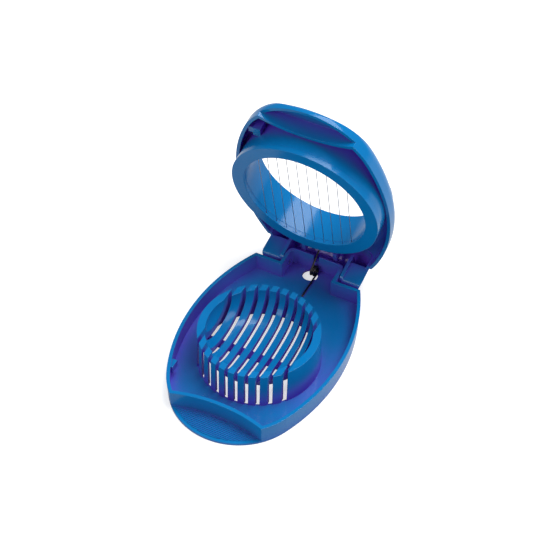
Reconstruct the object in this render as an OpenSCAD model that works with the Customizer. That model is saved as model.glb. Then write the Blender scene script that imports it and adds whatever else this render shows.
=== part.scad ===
// Round egg slicer: tray with slotted cup, hinged lid with a ring of ten cutting wires.
// Millimetres, +Z up, +Y towards the hinge. Origin: centre of the cup on the underside.
// Modelled in the open position; lid parts are drawn closed and swung by open_deg.

/* [Body] */
// Overall width of base and lid
body_w = 84.2; // [78:0.1:92]
// Cup axis to the outside of the rear wall
rear_y = 56; // [52:0.1:62]
// Cup axis to the front edge of the finger tab
tip_y = 57.4; // [56:0.1:60]
// Height of the tray rim
rim_z = 11.2; // [9.5:0.1:13.5]
// Thickness of the tray wall at the rim
wall = 1.75; // [1.5:0.05:2.3]
// Thickness of the tray floor
floor_t = 1.6; // [1.3:0.1:2.4]
// Thickness of the finger tab
tab_t = 1.3; // [1:0.1:2]
// Slope of the tray wall, inset at the foot
draft = 0.6; // [0:0.1:1]

/* [Cup] */
// Height of the cup rim above the table
cup_top = 21.9; // [20:0.1:24]
// Width of the flat cup rim
cup_rim_w = 4; // [3:0.1:5]
// Lowest point of the dish above the table
dish_z = 6.3; // [5.6:0.1:8]
// Thickness of the dish
dish_t = 2.8; // [1.8:0.1:3.2]
// Width of the wire slots
slot_w = 2.1; // [1.6:0.1:3]
// Outward slope of the cup wall, added at the foot
cup_draft = 0.7; // [0:0.1:1]

/* [Wires] */
// Number of cutting wires
wire_n = 10; // [6:1:12]
// Distance from wire to wire
wire_pitch = 5.25; // [4.6:0.05:5.4]
// Wire diameter
wire_d = 0.35; // [0.3:0.05:0.8]

/* [Ring] */
// Width of the ring face
ring_w = 6.65; // [5.6:0.05:7.4]
// Underside of the ring above the table, lid closed
ring_z = 3.2; // [2.8:0.1:4.5]
// Thickness of the ring cap
ring_t = 2.9; // [2.2:0.1:3.6]

/* [Lid] */
// Height of the closed lid above the table
lid_top = 22.8; // [21.6:0.1:26]
// Gap between the rims, lid closed
lid_gap = 0.8; // [0.4:0.1:1.6]
// Thickness of the lid skin
skin = 1.8; // [1.4:0.1:2.4]
// Rounding of the lid shoulder
shoulder = 6.6; // [5:0.1:8]
// Underside of the finger lobe above the tray rim
lobe_rise = 3.7; // [2:0.1:4.5]

/* [Hinge] */
// Height of the hinge axis above the table
hinge_z = 4.3; // [4.1:0.1:5.4]
// Opening angle of the lid
open_deg = 77.9; // [60:0.1:80]
// Hinge pin diameter
pin_d = 2.5; // [2:0.1:3]
// Spring wire diameter
coil_wire = 1.05; // [0.8:0.05:1.2]
// Spring coil outside diameter
coil_od = 6; // [5:0.1:6.2]

/* [Hidden] */
run_gap = 0.06;         // pin in the lid cheek, radial
fix_gap = 0.02;         // pin in the base, wire in the ring, radial
air = 0.35;             // between parts that swing past each other
seam = 0.02;            // step where two rounded shoulders meet, keeps the join clean
side_r = 104;           // plan radius of the long sides
widest_y = 7;           // widest point, towards the hinge from the cup axis
side_x = side_r - body_w / 2;
// front arc tangent to both side arcs, through the tab tip
fy = -(pow(side_x, 2) + pow(widest_y, 2) - pow(side_r - tip_y, 2)) / (2 * (side_r - tip_y - widest_y));
front_r = fy + tip_y;
ux = side_x / (side_r - front_r);
uy = (fy - widest_y) / (side_r - front_r);
ring_ro = body_w / 2 - wall - 0.72;
ring_ri = ring_ro - ring_w;
cup_r = ring_ri - 2.25;
cup_wall = 1.4;
under_r = cup_r - 0.35; // opening in the floor under the cup
dish_r = cup_r - cup_rim_w;
dish_big = 80;          // radius of the dish floor
dish_side = 13;         // radius of the dish side
fw_r = 79.7;            // plan radius of the front wall
fw_y = ring_ro + 3.65;  // cup axis to the front face of the front wall
fw_c = -fw_y - fw_r;
hinge_y = rear_y + 7.75;
lid_z = rim_z + lid_gap;
sh = min(shoulder, lid_top - lid_z - 0.2);
tub_x = 14;             // half width of the tub inside
tub_wall = 1.9;
tub_y = hinge_y + 3.55; // inside of the tub rear wall
tub_c = 3.2;            // corner radius of the tub
neck_x = 28.2;          // half width of the lid neck where it leaves the lid
neck_in = 20;           // angle by which the neck sides close in towards the back
neck_y = hinge_y + 4.9; // outside of the neck rear wall, closed
neck_r = 9.5;
cheek_t = 1.8;
cheek_in = tub_x + tub_wall + air;
boss_r = 3.2;
swing_in = neck_y - skin - hinge_y;
swing_r = sqrt(pow(swing_in, 2) + pow(lid_z - hinge_z, 2)) - 0.3; // tub stays inside this
lug_y = 6.4;            // hinge axis to the back of the stop lugs
lug_top = hinge_z + sqrt(pow(swing_r, 2) - pow(lug_y, 2));
heel_t = 1.5;
skirt_z = 0.45;         // underside of the neck skirts, lid closed
crown_flat = 35.5;      // revolved limit over the front of the lid: flat, slope, edge
crown_big = 50;
crown_edge = 5;
crown_up = 0.1;
pin_r = pin_d / 2;
wire_r = wire_d / 2;
wire_z = ring_z + 1.6;
coil_r = (coil_od - coil_wire) / 2;
coil_x = -0.4;          // first turn of the coil
coil_pitch = coil_wire - 0.05;
coil_n = 3;
tube_in = ring_ri + 0.6;
tube_t = 1.6;
arm_lean = 20.5;        // forward lean of the spring arm, closed
arm_len = 16.6;
$fn = 48;

blue = [0.05, 0.36, 0.68];
steel = [0.72, 0.73, 0.75];
dark = [0.22, 0.21, 0.21];

// ---------- plan shapes ----------

// region of the front arc: below the lines from each side centre through the front centre
module front_wedge(z0, z1, lap = 0) {
  l = 160;
  translate([0, lap, z0])
    linear_extrude(z1 - z0)
      polygon([[0, fy], [l * ux, fy + l * uy], [l * ux, -200], [-l * ux, -200], [-l * ux, fy + l * uy]]);
}

// egg-shaped solid with sloped walls, i0 and i1 are the insets at bottom and top
module egg(z0, z1, i0, i1) {
  h = z1 - z0;
  difference() {
    intersection() {
      translate([-side_x, widest_y, z0])
        cylinder(h = h, r1 = side_r - i0, r2 = side_r - i1, $fn = 360);
      translate([side_x, widest_y, z0])
        cylinder(h = h, r1 = side_r - i0, r2 = side_r - i1, $fn = 360);
    }
    front_wedge(z0 - 1, z1 + 1);
  }
  intersection() {
    translate([0, fy, z0])
      cylinder(h = h, r1 = front_r - i0 - seam, r2 = front_r - i1 - seam, $fn = 180);
    front_wedge(z0 - 1, z1 + 1, 2);
  }
}

// revolved block with a rounded top edge
module puck(r, z0, z1, rr, f) {
  rotate_extrude($fn = f)
    difference() {
      translate([0, z0])
        square([r, z1 - z0]);
      difference() {
        translate([r - rr, z1 - rr])
          square([rr + 1, rr + 1]);
        translate([r - rr, z1 - rr])
          circle(rr, $fn = 64);
      }
    }
}

// egg-shaped solid with a rounded shoulder
module dome(z0, z1, rr, inset) {
  difference() {
    intersection() {
      translate([-side_x, widest_y, 0])
        puck(side_r - inset, z0, z1, rr, 360);
      translate([side_x, widest_y, 0])
        puck(side_r - inset, z0, z1, rr, 360);
    }
    front_wedge(z0 - 1, z1 + 1);
  }
  intersection() {
    translate([0, fy, 0])
      puck(front_r - inset - seam, z0, z1 - seam, rr, 180);
    front_wedge(z0 - 1, z1 + 1, 2);
  }
}

// revolved block about the cup axis that lets the front of the lid fall away
module crown(z0, inset) {
  zt = lid_top + crown_up - inset;
  big = crown_big - inset;
  edge = crown_edge - inset;
  cr = tip_y + 0.15 - crown_edge;
  cz = zt - big + sqrt(pow(big - edge, 2) - pow(cr - crown_flat, 2));
  rt = crown_flat + (cr - crown_flat) * big / (big - edge);
  rotate_extrude($fn = 240) {
    intersection() {
      translate([crown_flat, zt - big])
        circle(big, $fn = 240);
      translate([0, z0])
        square([rt, zt - z0 + 1]);
    }
    translate([0, z0])
      square([crown_flat, zt - z0]);
    translate([cr, cz])
      circle(edge, $fn = 64);
    translate([0, z0])
      square([cr + edge, cz - z0]);
  }
}

// lid body without the neck, shrunk by inset
module lid_body(z0, inset) {
  intersection() {
    dome(z0, lid_top - inset, sh - inset, inset);
    union() {
      crown(z0 - 1, inset);
      translate([-80, 0, z0 - 1])
        cube([160, 120, lid_top - z0 + 3]);
    }
  }
}

// everything behind the plane y = y0
module behind(y0, z0, z1) {
  translate([-100, y0, z0])
    cube([200, 120, z1 - z0]);
}

// the bulging front wall circle, sloped like the walls
module nose(z0, z1, grow0, grow1) {
  translate([0, fw_c, z0])
    cylinder(h = z1 - z0, r1 = fw_r + grow0, r2 = fw_r + grow1, $fn = 240);
}

// ---------- base ----------

module tray_outside() {
  difference() {
    egg(0, rim_z, draft, 0);
    behind(rear_y, -1, rim_z + 1);
    nose(-1, rim_z + 1, draft * (1 + 1 / rim_z), -draft / rim_z);
  }
}

module tray_inside() {
  difference() {
    egg(floor_t, rim_z + 1, wall + 0.05, wall);
    behind(rear_y - wall, 0, rim_z + 2);
    nose(0, rim_z + 2, wall + draft, wall);
  }
}

module tub_block(x, y1, z0, z1, r) {
  translate([-x, rear_y - wall - 1, z0])
    cube([2 * x, y1 - rear_y + wall + 1 - r, z1 - z0]);
  translate([-x + r, rear_y - wall - 1, z0])
    cube([2 * x - 2 * r, y1 - rear_y + wall + 1, z1 - z0]);
  for (s = [-1, 1])
    translate([s * (x - r), y1 - r, z0])
      cylinder(h = z1 - z0, r = r);
}

module finger_tab() {
  difference() {
    egg(0, tab_t, draft, draft);
    translate([-100, fw_c + fw_r + 1.2, -1])
      cube([200, 200, tab_t + 2]);
  }
  for (k = [0 : 11])
    intersection() {
      translate([-40, -tip_y + 2.3 + k, tab_t - 0.2])
        cube([80, 0.5, 0.6]);
      egg(0, tab_t + 1, draft + 1.6, draft + 1.6);
      nose(-1, tab_t + 2, -0.7, -0.7);
    }
}

// half profile of the space above the dish
module dish_space(r, z, big, side) {
  cr = r - side;
  cz = z + big - sqrt(pow(big - side, 2) - pow(cr, 2));
  rt = cr * big / (big - side);
  intersection() {
    translate([0, z + big])
      circle(big, $fn = 240);
    // small flat at the lowest point
    translate([0, z + 0.04])
      square([rt, cup_top + 2 - z]);
  }
  translate([cr, cz])
    circle(side, $fn = 40);
  translate([cr, cz])
    square([side, cup_top + 2 - cz]);
  translate([0, cz])
    square([r, cup_top + 2 - cz]);
}

module cup_profile() {
  difference() {
    polygon([[0, 0], [cup_r + cup_draft, 0], [cup_r, cup_top], [0, cup_top]]);
    intersection() {
      dish_space(dish_r, dish_z, dish_big, dish_side);
      square([cup_r, cup_top + 3]);
    }
    difference() {
      translate([-1, -1])
        square([cup_r - cup_wall + 1, cup_top - 1.4]);
      dish_space(dish_r + dish_t, dish_z - dish_t, dish_big + dish_t, dish_side + dish_t);
    }
  }
}

module cup() {
  rotate_extrude($fn = 64)
    cup_profile();
}

module slots() {
  for (k = [0 : wire_n - 1])
    translate([(k - (wire_n - 1) / 2) * wire_pitch - slot_w / 2, -cup_r - 2, floor_t])
      cube([slot_w, 2 * cup_r + 4, cup_top]);
}

module catch_left() {
  intersection() {
    translate([-body_w / 2 + 5, -31.8, rim_z - 5])
      cube([5.3, 5.2, 4]);
    egg(0, rim_z, draft + 1, 1);
  }
}

module base_tray() {
  color(blue) {
    difference() {
      union() {
        tray_outside();
        difference() {
          tub_block(tub_x + tub_wall, tub_y + tub_wall, 0, rim_z, tub_c + tub_wall);
          translate([-50, rear_y - wall - 20, -1])
            cube([100, 20, rim_z + 2]);
        }
      }
      tray_inside();
      tub_block(tub_x, tub_y, floor_t, rim_z + 1, tub_c);
      // opening under the cup
      translate([0, 0, -1])
        cylinder(h = floor_t + 2, r = under_r, $fn = 120);
      // hole and well under the spring
      translate([-1.4, hinge_y - 1.35, -1])
        cylinder(h = floor_t + 2, r = 4.1);
      translate([coil_x - coil_wire / 2 - 0.6, hinge_y - coil_od / 2 - 0.35, hinge_z - coil_od / 2 - 0.3])
        cube([coil_n * coil_wire + 1.2, coil_od + 0.5, floor_t]);
      // notch for the spring arm
      translate([coil_x - 1.6, tub_y - 1, rim_z - 3.4])
        cube([3.2, tub_wall + 3, 5]);
      // rounded back edge of the tub, clear of the swinging neck
      translate([-tub_x - tub_wall - 1, hinge_y, hinge_z])
        rotate([90, 0, 90])
          linear_extrude(2 * tub_x + 2 * tub_wall + 2)
            difference() {
              translate([2, 2])
                square([10, 12]);
              circle(swing_r, $fn = 120);
            }
      // pin holes
      for (s = [-1, 1])
        translate([s * (tub_x + tub_wall / 2), hinge_y, hinge_z])
          rotate([0, 90, 0])
            cylinder(h = tub_wall + 2, r = pin_r + fix_gap, center = true);
    }
    difference() {
      cup();
      slots();
      translate([0, 0, -1])
        cylinder(h = floor_t + 1, r = under_r, $fn = 120);
    }
    // bar across the opening under the cup
    translate([-under_r - 0.5, -2.4, 0])
      cube([2 * under_r + 1, 4.6, 1.2]);
    finger_tab();
    // stop lugs behind the tub
    for (s = [-1, 1])
      translate([s * 9 - 1.5, tub_y + tub_wall - 0.5, rim_z - 5.2])
        cube([3, hinge_y + lug_y - tub_y - tub_wall + 0.5, lug_top - rim_z + 5.2]);
    // latch catch on the left wall
    catch_left();
  }
}

// ---------- lid, drawn closed ----------

module opened() {
  translate([0, hinge_y, hinge_z])
    rotate([-open_deg, 0, 0])
      translate([0, -hinge_y, -hinge_z])
        children();
}

// space between the two neck sides, which close in towards the back, top edges rounded
module neck_sides(z0, inset) {
  z1 = lid_top - inset;
  rr = sh - inset;
  intersection_for (m = [0, 1])
    mirror([m, 0, 0])
      translate([neck_x, rear_y + 1.5, 0])
        rotate([0, 0, neck_in])
          mirror([1, 0, 0])
            rotate([90, 0, 0])
              translate([inset, 0, -40])
                linear_extrude(90)
                  difference() {
                    translate([0, z0])
                      square([80, z1 - z0]);
                    difference() {
                      translate([-1, z1 - rr])
                        square([rr + 1, rr + 1]);
                      translate([rr, z1 - rr])
                        circle(rr, $fn = 64);
                    }
                  }
}

// rear neck with a rounded back, shrunk by inset
module neck_block(z0, inset) {
  y1 = neck_y - inset;
  z1 = lid_top - inset;
  rr = neck_r - inset;
  intersection() {
    neck_sides(z0, inset);
    translate([-40, 0, 0])
      difference() {
        translate([0, rear_y - 1 - inset, z0])
          cube([80, y1 - rear_y + 1 + inset, z1 - z0]);
        difference() {
          translate([-1, y1 - rr, z1 - rr])
            cube([82, rr + 1, rr + 1]);
          translate([-2, y1 - rr, z1 - rr])
            rotate([0, 90, 0])
              cylinder(h = 84, r = rr, $fn = 96);
        }
      }
  }
}

// inner cheek that rides on the hinge pin
module cheek(x0) {
  yf = rear_y + air;
  zb = hinge_z - boss_r;
  translate([x0, 0, 0])
    difference() {
      union() {
        translate([0, yf, zb + 3])
          cube([cheek_t, hinge_y - yf + 2, lid_z + 1 - zb - 3]);
        translate([0, yf + 3, zb])
          cube([cheek_t, hinge_y - yf - 3, 4]);
        translate([0, yf + 3, zb + 3])
          rotate([0, 90, 0])
            cylinder(h = cheek_t, r = 3);
        translate([0, hinge_y, hinge_z])
          rotate([0, 90, 0])
            cylinder(h = cheek_t, r = boss_r);
        rotate([90, 0, 90])
          linear_extrude(cheek_t)
            polygon([[hinge_y - 1, hinge_z], [hinge_y + boss_r - 0.1, hinge_z], [neck_y, lid_z],
                     [neck_y, lid_z + 1], [hinge_y - 1, lid_z + 1]]);
      }
      translate([-1, hinge_y, hinge_z])
        rotate([0, 90, 0])
          cylinder(h = cheek_t + 2, r = pin_r + run_gap);
    }
}

// side view of the skirts, grown inward by t
module skirt_shape(t) {
  yf = rear_y + 1.4 + t;
  zb = skirt_z + t;
  r = 2.6 - t;
  yb = neck_y - t * 1.1;
  polygon([[yf + r, zb], [hinge_y, zb], [hinge_y + 2.8 - t, hinge_z - 2.4 + t],
           [yb, lid_z], [yb, lid_z + 1 + t], [yf, lid_z + 1 + t], [yf, zb + r], [yf + r, zb + r]]);
  translate([yf + r, zb + r])
    circle(r, $fn = 48);
}

// skirts of the neck sides, hanging below the lid rim
module neck_skirts() {
  difference() {
    intersection() {
      neck_sides(-2, 0);
      rotate([90, 0, 90])
        translate([0, 0, -40])
          linear_extrude(80)
            skirt_shape(0);
    }
    neck_sides(-3, skin);
  }
}

// plates that box in the neck between the inner cheeks and the skirts
module heels() {
  intersection() {
    neck_sides(0, skin / 2);
    for (m = [0, 1])
      mirror([m, 0, 0])
        translate([cheek_in + cheek_t - 0.3, 0, 0])
          rotate([90, 0, 90])
            linear_extrude(12)
              difference() {
                skirt_shape(0);
                skirt_shape(heel_t);
              }
  }
}

module lid_outside() {
  difference() {
    lid_body(lid_z, 0);
    behind(rear_y, lid_z - 1, lid_top + 1);
  }
  neck_block(lid_z + 0.1, 0);
}

module lid_inside() {
  difference() {
    lid_body(lid_z - 1, skin);
    behind(rear_y - skin, lid_z - 2, lid_top + 1);
  }
  neck_block(lid_z - 1, skin);
}

module lid_lobe_cut() {
  intersection() {
    nose(lid_z - 1, rim_z + lobe_rise, 0, 0);
    translate([-60, -90, lid_z - 1])
      cube([120, 60, 10]);
  }
}

module tube(ri, ro, z0, z1) {
  translate([0, 0, z0])
    difference() {
      cylinder(h = z1 - z0, r = ro, $fn = 120);
      translate([0, 0, -1])
        cylinder(h = z1 - z0 + 2, r = ri, $fn = 120);
    }
}

module lid_closed() {
  zr = ring_z + ring_t;
  difference() {
    union() {
      difference() {
        lid_outside();
        lid_inside();
      }
      // front wall of the lid
      intersection() {
        difference() {
          lid_body(lid_z, skin / 2);
          nose(0, 40, 0, 0);
        }
        nose(0, 40, 1.8, 1.8);
      }
      // pads behind the front wall that meet the tray latch
      translate([-29.4, -34.6, lid_z + 0.6])
        cube([4.2, 5.4, lid_top - skin - lid_z - 3]);
      translate([-32.4, -33.6, lid_z + 1.6])
        cube([3.4, 4, lid_top - skin - lid_z - 6]);
      for (s = [0, 1])
        mirror([s, 0, 0]) {
          translate([cheek_in, rear_y + air, lid_z])
            cube([cheek_t, neck_y - skin / 2 - rear_y - air, lid_top - skin / 2 - neck_r * 0.55 - lid_z]);
          cheek(cheek_in);
        }
      neck_skirts();
      heels();
      // stop ribs that meet the lugs on the tub
      for (s = [-1, 1])
        translate([s * 9 - 1, rear_y - skin / 2, lid_z])
          cube([2, hinge_y - swing_in - rear_y + skin / 2, lid_top - skin / 2 - lid_z - 0.4]);
    }
    lid_lobe_cut();
    translate([0, 0, lid_z - 1])
      cylinder(h = 20, r = tube_in + tube_t / 2, $fn = 120);
  }
  tube(tube_in, tube_in + tube_t, zr, lid_top);
  tube(ring_ro - 0.2 - tube_t, ring_ro - 0.2, zr, lid_top - skin / 2);
}

module lid_shell() {
  color(blue)
    opened()
      lid_closed();
}

// ---------- ring and wires ----------

module wire_closed(k, grow, extra) {
  x = (k - (wire_n - 1) / 2) * wire_pitch;
  l = sqrt(pow(ring_ri + 2, 2) - pow(x, 2)) + extra;
  translate([x, 0, wire_z])
    rotate([90, 0, 0])
      cylinder(h = 2 * l, r = wire_r + grow, center = true, $fn = 16);
}

module wire(k) {
  color(steel)
    opened()
      wire_closed(k, 0, 0);
}

module wire_ring() {
  color(blue)
    opened()
      difference() {
        rotate_extrude($fn = 144)
          difference() {
            translate([ring_ri, ring_z])
              square([ring_w, ring_t]);
            translate([ring_ri - 1, ring_z + 0.9])
              square([1.7, ring_t]);
          }
        for (k = [0 : wire_n - 1])
          wire_closed(k, fix_gap, 0.1);
      }
}

module wire_01() {
  wire(0);
}
module wire_02() {
  wire(1);
}
module wire_03() {
  wire(2);
}
module wire_04() {
  wire(3);
}
module wire_05() {
  wire(4);
}
module wire_06() {
  wire(5);
}
module wire_07() {
  wire(6);
}
module wire_08() {
  wire(7);
}
module wire_09() {
  wire(8);
}
module wire_10() {
  wire(9);
}

// ---------- hinge ----------

module hinge_pin(s) {
  x0 = tub_x;
  l = cheek_in + cheek_t - 0.5 - tub_x;
  color(steel)
    translate([s > 0 ? x0 : -x0 - l, hinge_y, hinge_z])
      rotate([0, 90, 0])
        cylinder(h = l, r = pin_r);
}

module hinge_pin_left() {
  hinge_pin(-1);
}

module hinge_pin_right() {
  hinge_pin(1);
}

// one turn about the hinge axis, starting at the angle a0 above the front, going round by a
module turn(x, a0, a) {
  translate([x, hinge_y, hinge_z])
    rotate([0, 90, 0])
      rotate([0, 0, a0])
        rotate_extrude(angle = a, $fn = 48)
          translate([coil_r, 0])
            circle(coil_wire / 2, $fn = 20);
}

module hinge_spring() {
  zl = floor_t + coil_wire / 2;
  yc = hinge_y - sqrt(pow(coil_r, 2) - pow(hinge_z - zl, 2));
  color(dark) {
    for (k = [1 : coil_n - 1])
      turn(coil_x + k * coil_pitch, 0, 360);
    translate([coil_x + (coil_n - 1) * coil_pitch, yc, zl])
      rotate([90, 0, 0])
        cylinder(h = yc - rear_y + 9.9, r = coil_wire / 2, $fn = 24);
  }
}

module spring_arm() {
  color(dark)
    opened() {
      turn(coil_x - air, arm_lean - 90, 330);
      translate([coil_x - air, hinge_y - coil_r * cos(arm_lean), hinge_z - coil_r * sin(arm_lean)])
        rotate([arm_lean, 0, 0])
          cylinder(h = arm_len, r = coil_wire / 2, $fn = 24);
    }
}

base_tray();
lid_shell();
wire_ring();
hinge_pin_left();
hinge_pin_right();
hinge_spring();
spring_arm();
wire_01();
wire_02();
wire_03();
wire_04();
wire_05();
wire_06();
wire_07();
wire_08();
wire_09();
wire_10();
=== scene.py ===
"""Looks for the hinged egg slicer: camera, light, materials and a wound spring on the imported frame."""
import math

import bpy
import bmesh
from mathutils import Matrix, Vector


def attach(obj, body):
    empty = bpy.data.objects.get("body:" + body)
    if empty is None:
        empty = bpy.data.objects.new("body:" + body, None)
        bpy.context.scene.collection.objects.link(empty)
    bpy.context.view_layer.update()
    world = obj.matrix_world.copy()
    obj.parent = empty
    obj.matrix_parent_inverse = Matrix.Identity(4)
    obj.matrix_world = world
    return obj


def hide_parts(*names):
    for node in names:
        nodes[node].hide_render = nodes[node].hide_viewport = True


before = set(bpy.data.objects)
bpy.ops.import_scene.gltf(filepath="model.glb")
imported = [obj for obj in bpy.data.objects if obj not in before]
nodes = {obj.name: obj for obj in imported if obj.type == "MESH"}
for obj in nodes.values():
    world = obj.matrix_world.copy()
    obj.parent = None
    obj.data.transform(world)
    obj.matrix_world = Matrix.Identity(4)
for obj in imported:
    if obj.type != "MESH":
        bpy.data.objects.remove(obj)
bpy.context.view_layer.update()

MM = 0.001

# ---------- camera: the photograph's viewing angle ----------

CAM_AZ = 25.9          # degrees from -Y towards +X
CAM_EL = 46.74         # degrees above the floor
CAM_ROLL = 0.5
CAM_DIST = 0.895
CAM_TARGET = Vector((-18.46, 55.42, 0.0)) * MM
IMAGE_PX = 550
FOCAL_PX = 1705.1
SENSOR_MM = 36.0


def make_camera():
    az, el = math.radians(CAM_AZ), math.radians(CAM_EL)
    back = Vector((math.sin(az) * math.cos(el), -math.cos(az) * math.cos(el), math.sin(el)))
    right = Vector((math.cos(az), math.sin(az), 0.0))
    up = back.cross(right)
    roll = Matrix.Rotation(math.radians(CAM_ROLL), 3, back)
    right, up = roll @ right, roll @ up
    pose = Matrix((right, up, back)).transposed().to_4x4()
    pose.translation = CAM_TARGET + back * CAM_DIST
    data = bpy.data.cameras.new("camera")
    data.sensor_width = SENSOR_MM
    data.lens = SENSOR_MM * FOCAL_PX / IMAGE_PX
    data.clip_start = 0.05
    data.clip_end = 20.0
    cam = bpy.data.objects.new("camera", data)
    cam.matrix_world = pose
    bpy.context.collection.objects.link(cam)
    bpy.context.scene.camera = cam


make_camera()

# ---------- shader nodes ----------


def new_material(name):
    mat = bpy.data.materials.new(name)
    mat.use_nodes = True
    nt = mat.node_tree
    return mat, nt, nt.nodes["Principled BSDF"]


def link(nt, a, b):
    nt.links.new(a, b)


def math_node(nt, op, a, b):
    n = nt.nodes.new("ShaderNodeMath")
    n.operation = op
    for i, v in enumerate((a, b)):
        if isinstance(v, (int, float)):
            n.inputs[i].default_value = v
        else:
            link(nt, v, n.inputs[i])
    return n.outputs[0]


def mix_color(nt, fac, a, b):
    n = nt.nodes.new("ShaderNodeMix")
    n.data_type = "RGBA"
    link(nt, fac, n.inputs[0])
    for v, sock in ((a, n.inputs[6]), (b, n.inputs[7])):
        if isinstance(v, tuple):
            sock.default_value = v
        else:
            link(nt, v, sock)
    return n.outputs[2]


def mix_vector(nt, fac, a, b):
    n = nt.nodes.new("ShaderNodeMix")
    n.data_type = "VECTOR"
    for v, sock in ((fac, n.inputs[0]), (a, n.inputs[4]), (b, n.inputs[5])):
        link(nt, v, sock)
    return n.outputs[1]


def map_range(nt, v, from_min, from_max, to_min, to_max):
    n = nt.nodes.new("ShaderNodeMapRange")
    n.inputs["From Min"].default_value = from_min
    n.inputs["From Max"].default_value = from_max
    n.inputs["To Min"].default_value = to_min
    n.inputs["To Max"].default_value = to_max
    link(nt, v, n.inputs["Value"])
    return n.outputs["Result"]


def noise(nt, vec, scale, detail):
    n = nt.nodes.new("ShaderNodeTexNoise")
    n.inputs["Scale"].default_value = scale
    n.inputs["Detail"].default_value = detail
    link(nt, vec, n.inputs["Vector"])
    return n.outputs["Fac"]


def color_ramp(nt, fac, stops):
    n = nt.nodes.new("ShaderNodeValToRGB")
    for element, (position, color) in zip(n.color_ramp.elements, stops):
        element.position = position
        element.color = (*color, 1)
    link(nt, fac, n.inputs["Fac"])
    return n.outputs["Color"]


# ---------- materials ----------

RESIN = ((0.3, (0.0010, 0.138, 0.372)), (0.7, (0.0020, 0.152, 0.402)))
PAINTED_SHADE_VIOLET = (0.125, 0.040, 0.54, 1)       # painted shade: violet put into the colour where little light gets in
PAINTED_EDGE_HIGHLIGHT = (0.02, 0.20, 0.52, 1)         # painted highlight along the edges, paler than the resin
SHADE_REACH = 45 * MM
SHADE_MOST = 0.95
EDGE_RADIUS = 0.3 * MM
EDGE_HIGHLIGHT_MOST = 0.4
RESIN_DRIFT = 45.0                         # noise scales, per metre
RESIN_HAZE = 120.0
RESIN_GRAIN = 1100.0


def blue_plastic(name, crisp_below=0.0):
    """Moulded translucent resin, with violet shade painted into its colour in hollows and a highlight
    painted paler along its edges; under the height crisp_below the edges stay as modelled.
    """
    mat, nt, bsdf = new_material(name)
    vec = nt.nodes.new("ShaderNodeTexCoord").outputs["Object"]
    # slow colour drift
    color = color_ramp(nt, noise(nt, vec, RESIN_DRIFT, 2.0), RESIN)
    # violet in the depths: painted shade, mixed in where the ambient occlusion finds hollows
    ao = nt.nodes.new("ShaderNodeAmbientOcclusion")
    ao.samples = 12
    ao.inputs["Distance"].default_value = SHADE_REACH
    shade = map_range(nt, ao.outputs["AO"], 0.14, 0.54, SHADE_MOST, 0.0)
    color = mix_color(nt, shade, color, PAINTED_SHADE_VIOLET)
    # rounded edges, a little paler: the bevel normal rounds them and a painted highlight is mixed into
    # their colour
    bevel = nt.nodes.new("ShaderNodeBevel")
    bevel.samples = 8
    bevel.inputs["Radius"].default_value = EDGE_RADIUS
    normal = bevel.outputs["Normal"]
    flat = nt.nodes.new("ShaderNodeNewGeometry").outputs["Normal"]
    dot = nt.nodes.new("ShaderNodeVectorMath")
    dot.operation = "DOT_PRODUCT"
    link(nt, normal, dot.inputs[0])
    link(nt, flat, dot.inputs[1])
    edge = map_range(nt, dot.outputs["Value"], 0.96, 0.80, 0.0, EDGE_HIGHLIGHT_MOST)
    if crisp_below:
        xyz = nt.nodes.new("ShaderNodeSeparateXYZ")
        link(nt, vec, xyz.inputs[0])
        above = map_range(nt, xyz.outputs["Z"], crisp_below, crisp_below + 0.3 * MM, 0.0, 1.0)
        edge = math_node(nt, "MULTIPLY", edge, above)
        normal = mix_vector(nt, above, flat, normal)
    # painted highlight: the edges' colour is mixed towards a paler blue
    color = mix_color(nt, edge, color, PAINTED_EDGE_HIGHLIGHT)
    link(nt, color, bsdf.inputs["Base Color"])
    # fine moulded grain and haze in the gloss
    grain = noise(nt, vec, RESIN_GRAIN, 3.0)
    haze = noise(nt, vec, RESIN_HAZE, 2.0)
    rough = math_node(nt, "ADD", map_range(nt, grain, 0.3, 0.7, 0.13, 0.18),
                      map_range(nt, haze, 0.3, 0.7, -0.03, 0.05))
    link(nt, rough, bsdf.inputs["Roughness"])
    bsdf.inputs["IOR"].default_value = 1.49
    bsdf.inputs["Specular IOR Level"].default_value = 0.25
    bump = nt.nodes.new("ShaderNodeBump")
    bump.inputs["Strength"].default_value = 0.03
    bump.inputs["Distance"].default_value = 0.15 * MM
    link(nt, grain, bump.inputs["Height"])
    link(nt, normal, bump.inputs["Normal"])
    link(nt, bump.outputs["Normal"], bsdf.inputs["Normal"])
    return mat


def steel(name, color, rough, streak):
    """Drawn metal whose colour and gloss vary with a noise of scale streak."""
    mat, nt, bsdf = new_material(name)
    vec = nt.nodes.new("ShaderNodeTexCoord").outputs["Object"]
    fac = noise(nt, vec, streak, 3.0)
    link(nt, map_range(nt, fac, 0.0, 1.0, rough * 0.8, rough * 1.3), bsdf.inputs["Roughness"])
    dull = tuple(c * 0.82 for c in color)
    link(nt, color_ramp(nt, fac, ((0.0, dull), (1.0, color))), bsdf.inputs["Base Color"])
    bsdf.inputs["Metallic"].default_value = 1.0
    return mat


PLASTIC = blue_plastic("blue_plastic")
TRAY_PLASTIC = blue_plastic("tray_plastic", crisp_below=2.0 * MM)   # keeps the finger tab's ridges
WIRE_STEEL = steel("wire_steel", (0.42, 0.42, 0.44), 0.3, 3000.0)
PIN_STEEL = steel("pin_steel", (0.62, 0.62, 0.63), 0.3, 1500.0)
SPRING_STEEL = steel("spring_steel", (0.10, 0.09, 0.09), 0.35, 2500.0)


def dress(obj, mat, angle=32.0):
    obj.data.materials.clear()
    obj.data.materials.append(mat)
    obj.data.polygons.foreach_set("use_smooth", [True] * len(obj.data.polygons))
    obj.data.set_sharp_from_angle(angle=math.radians(angle))


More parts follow.
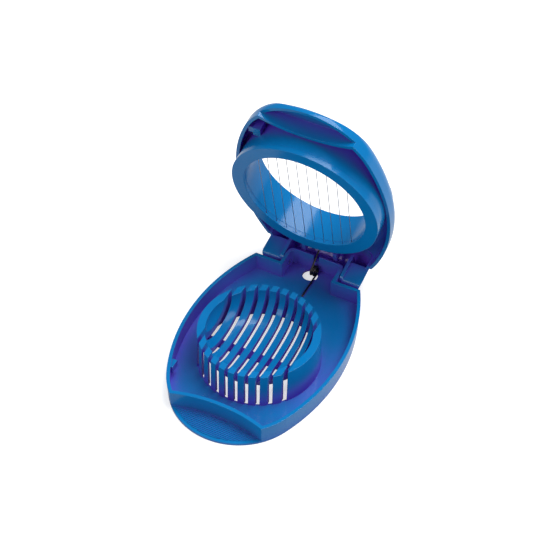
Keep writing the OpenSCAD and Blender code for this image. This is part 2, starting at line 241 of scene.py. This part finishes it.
for name, obj in nodes.items():
    if name.startswith(("wire_0", "wire_1")):
        dress(obj, WIRE_STEEL)
    elif name.startswith("hinge_pin"):
        dress(obj, PIN_STEEL)
    elif name in ("hinge_spring", "spring_arm"):
        dress(obj, SPRING_STEEL)
    elif name == "base_tray":
        dress(obj, TRAY_PLASTIC)
    else:
        dress(obj, PLASTIC)

# ---------- torsion spring, wound as one wire ----------

HINGE = Vector((0.0, 63.75, 4.3)) * MM
OPEN = math.radians(77.9)              # swing of the lid from shut to the pose at rest
LEAN = math.radians(20.5)              # of the lid arm, lid shut
COIL_R = 2.475 * MM                    # to the middle of the wire
WIRE_R = 0.5 * MM
SIDES = 14                             # of the round wire
CAP = ((0.0, 1.0), (0.38, 0.92), (0.7, 0.71), (0.92, 0.38))   # rounded end: along, radius

COIL_X = (-0.1 * MM, 1.6 * MM)         # first and last turn of the coil
COIL_TURNS = 1.75
LEG_Z = 2.125 * MM                     # floor leg
LEG_DIP = 3.0 * MM                     # length in which it comes down from the coil
LEG_RUN = 14.2 * MM
ARM_X = -0.75 * MM                     # lid arm
ARM_WRAP = math.radians(325)
ARM_RUN = 16.2 * MM


def tube_mesh(name, points, radius):
    """Round wire along the points, with rounded ends."""
    pts = [Vector(p) for p in points]
    n = len(pts)
    tans = [(pts[min(i + 1, n - 1)] - pts[max(i - 1, 0)]).normalized() for i in range(n)]
    angles = [2 * math.pi * k / SIDES for k in range(SIDES)]
    side = tans[0].orthogonal().normalized()
    rings = []
    for i, (p, t) in enumerate(zip(pts, tans)):
        side = (side - t * side.dot(t)).normalized()
        up = t.cross(side)
        steps = CAP[:1]
        if i == 0:
            steps = [(-along, grow) for along, grow in reversed(CAP)]
        elif i == n - 1:
            steps = CAP
        for along, grow in steps:
            c = p + t * along * radius * 0.8
            rings.append([c + (side * math.cos(a) + up * math.sin(a)) * radius * grow
                          for a in angles])
    bm = bmesh.new()
    verts = [[bm.verts.new(v) for v in ring] for ring in rings]
    for r0, r1 in zip(verts, verts[1:]):
        for k in range(SIDES):
            j = (k + 1) % SIDES
            bm.faces.new((r0[k], r0[j], r1[j], r1[k]))
    bm.faces.new(list(reversed(verts[0])))
    bm.faces.new(verts[-1])
    bmesh.ops.recalc_face_normals(bm, faces=bm.faces)
    me = bpy.data.meshes.new(name)
    bm.to_mesh(me)
    bm.free()
    obj = bpy.data.objects.new(name, me)
    bpy.context.collection.objects.link(obj)
    return obj


def helix(x0, x1, phi0, phi1, steps):
    """Points round the hinge axis from angle phi0 to phi1, moving from x0 to x1."""
    points = []
    for k in range(steps + 1):
        phi = phi0 + (phi1 - phi0) * k / steps
        points.append(Vector((x0 + (x1 - x0) * k / steps,
                              HINGE.y + COIL_R * math.cos(phi),
                              HINGE.z + COIL_R * math.sin(phi))))
    return points


def make_coil():
    """The coil and the leg that runs forward on the tray floor."""
    x = COIL_X[1]
    end = -0.5 * math.pi
    low = HINGE.z - COIL_R
    pts = helix(*COIL_X, end + COIL_TURNS * 2 * math.pi, end, 72)
    for k in range(1, 9):
        t = k / 8
        pts.append(Vector((x, HINGE.y - LEG_DIP * t, low + (LEG_Z - low) * t * t * (3 - 2 * t))))
    for k in range(1, 13):
        pts.append(Vector((x, HINGE.y - LEG_DIP - LEG_RUN * k / 12, LEG_Z)))
    coil = tube_mesh("spring_coil", pts, WIRE_R)
    dress(coil, SPRING_STEEL, 60.0)
    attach(coil, "base")
    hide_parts("hinge_spring")


def make_lid_arm():
    """The turn and arm that go with the lid, drawn with the lid shut and swung open."""
    top = math.pi + LEAN
    pts = helix(ARM_X, ARM_X, top + ARM_WRAP, top, 48)
    start = pts[-1]
    along = Vector((0.0, -math.sin(LEAN), math.cos(LEAN)))
    for k in range(1, 25):
        pts.append(start + along * (ARM_RUN * k / 24))
    turn = Matrix.Rotation(-OPEN, 3, "X")
    pts = [HINGE + turn @ (p - HINGE) for p in pts]
    arm = tube_mesh("spring_lid_arm", pts, WIRE_R)
    dress(arm, SPRING_STEEL, 60.0)
    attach(arm, "lid")
    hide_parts("spring_arm")


make_coil()
make_lid_arm()

# ---------- floor, world and lamps ----------

FLOOR_HALF = 3.0
FLOOR_GRAY = 0.6
FLOOR_GLOW = 0.58                      # added for the camera only, so that the floor shows white
WORLD_LIGHT = 0.50
WORLD_SHOWN = 1.0
WORLD_IN_GLOSS = 0.35                  # share of the world that the gloss mirrors

LAMPS = (
    # name, place, aimed at, size, watts
    ("top", (0.26, 0.34, 1.1), (0, 0.02, 0.0), (0.7, 0.7), 13.0),
    ("side", (0.95, 0.10, 0.5), (0, 0.02, 0.03), (0.5, 0.4), 2.8),
    ("front", (-0.4, -0.9, 0.7), (0, 0.02, 0.03), (0.5, 0.5), 3.2),
)


def make_floor():
    me = bpy.data.meshes.new("floor")
    s = FLOOR_HALF
    me.from_pydata([(-s, -s, 0), (s, -s, 0), (s, s, 0), (-s, s, 0)], [], [(0, 1, 2, 3)])
    floor = bpy.data.objects.new("floor", me)
    floor.location.z = -0.1 * MM
    bpy.context.collection.objects.link(floor)
    mat, nt, bsdf = new_material("floor_white")
    bsdf.inputs["Base Color"].default_value = (FLOOR_GRAY, FLOOR_GRAY, FLOOR_GRAY, 1)
    bsdf.inputs["Roughness"].default_value = 0.9
    bsdf.inputs["Specular IOR Level"].default_value = 0.1
    glow = nt.nodes.new("ShaderNodeEmission")
    glow.inputs["Color"].default_value = (1, 1, 1, 1)
    seen = nt.nodes.new("ShaderNodeLightPath").outputs["Is Camera Ray"]
    link(nt, math_node(nt, "MULTIPLY", seen, FLOOR_GLOW), glow.inputs["Strength"])
    add = nt.nodes.new("ShaderNodeAddShader")
    link(nt, bsdf.outputs[0], add.inputs[0])
    link(nt, glow.outputs[0], add.inputs[1])
    link(nt, add.outputs[0], nt.nodes["Material Output"].inputs["Surface"])
    me.materials.append(mat)


def make_world():
    world = bpy.data.worlds.new("world")
    bpy.context.scene.world = world
    world.use_nodes = True
    nt = world.node_tree
    bg = nt.nodes["Background"]
    bg.inputs["Color"].default_value = (1, 1, 1, 1)
    rays = nt.nodes.new("ShaderNodeLightPath")
    level = map_range(nt, rays.outputs["Is Camera Ray"], 0.0, 1.0, WORLD_LIGHT, WORLD_SHOWN)
    share = map_range(nt, rays.outputs["Is Glossy Ray"], 0.0, 1.0, 1.0, WORLD_IN_GLOSS)
    link(nt, math_node(nt, "MULTIPLY", level, share), bg.inputs["Strength"])


def make_lamp(name, place, target, size, watts):
    data = bpy.data.lights.new(name, "AREA")
    data.shape = "RECTANGLE"
    data.size, data.size_y = size
    data.energy = watts
    lamp = bpy.data.objects.new(name, data)
    lamp.location = place
    aim = Vector(target) - Vector(place)
    lamp.rotation_euler = aim.to_track_quat("-Z", "Y").to_euler()
    bpy.context.collection.objects.link(lamp)


make_floor()
make_world()
for lamp in LAMPS:
    make_lamp(*lamp)

scene = bpy.context.scene
scene.view_settings.view_transform = "Standard"
